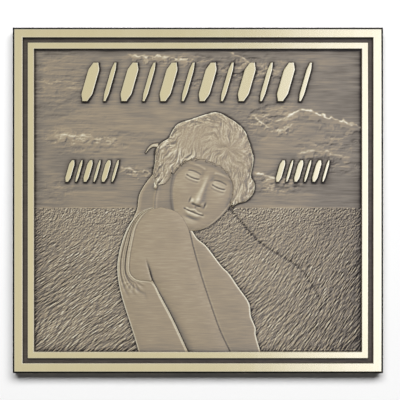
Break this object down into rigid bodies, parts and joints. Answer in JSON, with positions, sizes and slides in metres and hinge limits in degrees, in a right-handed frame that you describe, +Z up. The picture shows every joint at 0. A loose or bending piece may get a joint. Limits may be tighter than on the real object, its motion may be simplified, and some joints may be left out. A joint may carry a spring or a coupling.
{
  "type": "bronze memorial plaque",
  "caption": "Cast bronze wall plaque with a double raised border and a low relief of a seated figure in a meadow under clouds, with plain strokes for its words.",
  "frame": {"origin": "middle of the flat back, on the wall", "axes": "+X to the right as seen from the front, +Y into the wall, +Z up"},
  "size_m": [0.3, 0.0104, 0.28],
  "materials": {
    "bronze": "satin cast bronze: bands and strokes brushed bright gold, relief tan, hollows dark grey-brown"
  },
  "bodies": {
    "root": {"plaque": "bronze"}
  },
  "joints": []
}
